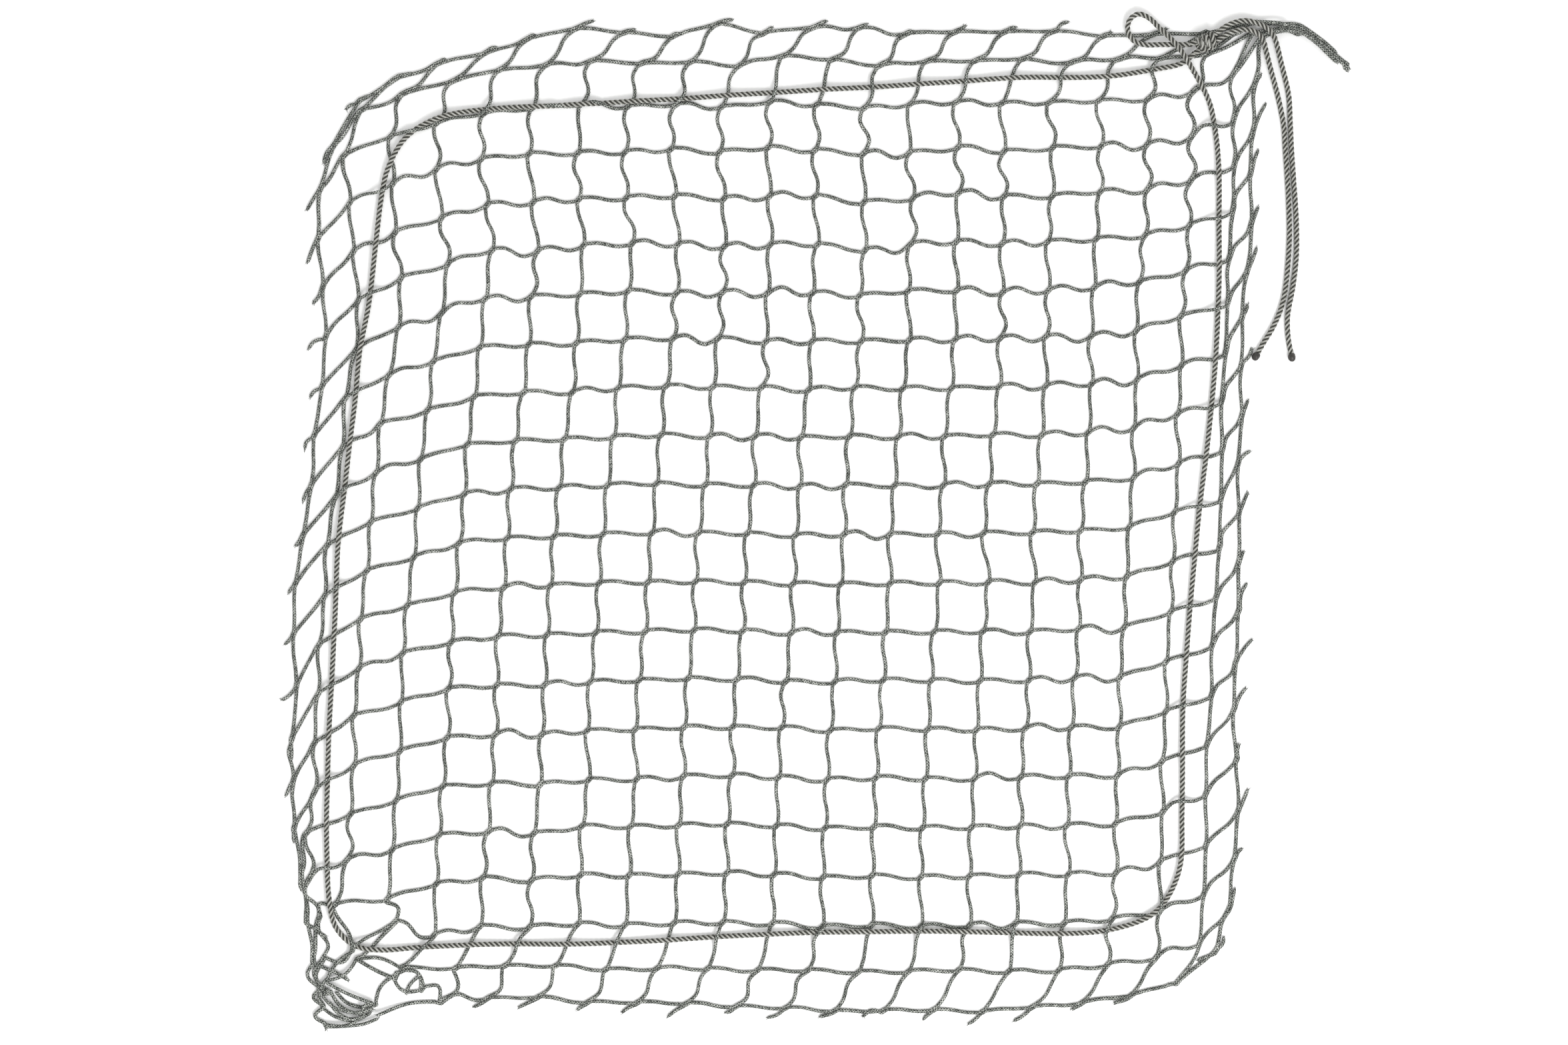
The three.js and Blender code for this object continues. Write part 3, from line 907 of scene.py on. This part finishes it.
def add_end_of_twine(skin, tufts, number):
    """One end of twine, with its two cut ends drawn in and frayed."""
    line, squeeze = twine_line(number)
    width = TWINE_W * (1 - (1 - JOINT_SQUEEZE) * squeeze)
    wander = np.interp(
        np.arange(len(line)), np.arange(0, len(line) + 40, 40),
        rng.normal(1, 0.05, len(range(0, len(line) + 40, 40))),
    )
    taper = np.ones(len(line))
    taper[:3] = (0.55, 0.8, 0.95)
    taper[-3:] = (0.95, 0.8, 0.55)
    rings = twine_rings(line, width * wander, np.full(len(line), TWINE_H), taper)
    skin.add_rings(rings, np.arange(len(line)) / RINGS_PER_STITCH, number)
    add_tuft(tufts, line[0], line[0] - line[2])
    add_tuft(tufts, line[-1], line[-1] - line[-3])


def add_tuft(tufts, tip, way):
    """A few loose filaments at a cut end."""
    way = unit(way)
    for _ in range(FILAMENTS):
        spread = unit(way + rng.normal(0, 0.22, 3) * (1, 1, 0.4))
        length = rng.uniform(1.4, 3.2) * MM
        start = tip - way * 1.2 * MM + rng.normal(0, 0.6 * MM, 3) * (1, 1, 0.5)
        curl = rng.normal(0, 0.25, 3) * (1, 1, 0.3) * length
        line = np.array([start + spread * length * t + curl * t * t for t in (0, 0.35, 0.7, 1.0)])
        line[:, 2] = np.clip(line[:, 2], 0.3 * MM, None)
        _, side, up = carried_frames(line)
        angle = (np.arange(4) * math.pi / 2)[None, :, None]
        offset = np.cos(angle) * side[:, None] + np.sin(angle) * up[:, None]
        rings = line[:, None] + FILAMENT_R[:, None, None] * offset
        tufts.add_rings(rings, np.arange(4) * 0.5, tufts.count)


def add_netting():
    """The netting in pieces of a few ends each, and the tufts at the cut ends."""
    strand_nodes = sorted(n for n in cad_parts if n.startswith("strand_"))
    tufts = Skin()
    skins = [Skin()]
    for number in range(2 * STRANDS):
        if skins[-1].triangles() > PIECE_TRIANGLES:
            skins.append(Skin())
        add_end_of_twine(skins[-1], tufts, number)
    for k, skin in enumerate(skins):
        piece = skin.build(f"netting_{k + 1:02d}", TWINE)
        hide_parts(*strand_nodes[k::len(skins)])
    ends = tufts.build("cut_ends", TWINE)


add_netting()

# ---------------------------------------------------------------- the drawstring


def add_round_run():
    """The drawstring's run round the net, over and under the twine."""
    plan = smooth_line(ROUND, ROPE_RING)
    along = arc_lengths(plan)
    z = rope_heights(along * arc_lengths(ROUND_PLAN)[-1] / along[-1], FOUND, ON_TOP)
    start = np.clip(1 - along / KNOT_START_REACH, 0, 1)
    finish = np.clip(1 - (along[-1] - along) / KNOT_FINISH_REACH, 0, 1)
    z = z * (1 - start) + KNOT_START_Z * start
    z = z * (1 - finish) + KNOT_FINISH_Z * finish
    skin = Skin()
    add_rope(skin, np.column_stack([plan, z]))
    run = skin.build("rope_round_net", ROPE)
    sides = [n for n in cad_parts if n.startswith("drawstring_") and n.endswith(("_side", "_corner"))]
    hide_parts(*sides)


def add_loop():
    """The bow loop on top of the netting."""
    skin = Skin()
    add_rope(skin, smooth_line(LOOP, ROPE_RING))
    loop = skin.build("rope_bow_loop", ROPE)
    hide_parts("drawstring_bow_loop")


def add_knot():
    """Five wraps drawn up round the two ropes that pass through them, the last ones on top."""
    wraps = 5
    turns = np.linspace(0, wraps * 2 * math.pi, 110)
    share = turns / turns[-1]
    radius = (4.6 + 0.8 * np.sin(2.3 * turns) + 0.9 * share) * MM
    length = 14 * MM
    lean = 0.45
    hump = 3.2 * MM
    run = (2 * np.abs(share - 0.55) - 0.5) * length
    wrap = KNOT_AT + np.column_stack([
        run * math.cos(lean) - radius * np.cos(turns) * math.sin(lean),
        run * math.sin(lean) + radius * np.cos(turns) * math.cos(lean),
        0.8 * radius * np.sin(turns),
    ])
    skin = Skin()
    add_rope(skin, smooth_line(wrap, ROPE_RING))
    for a, b in ((np.append(ROUND[0], KNOT_START_Z), TAIL_B[0]), (LOOP[-1], TAIL_A[0])):
        middle = (a + b) / 2 + np.array([0, 0, hump])
        through = np.array([a, (a + middle) / 2, middle, (middle + b) / 2, b])
        add_rope(skin, smooth_line(through, ROPE_RING))
    knot = skin.build("rope_slip_knot", ROPE)
    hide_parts("drawstring_slip_knot")


add_round_run()
add_loop()
add_knot()
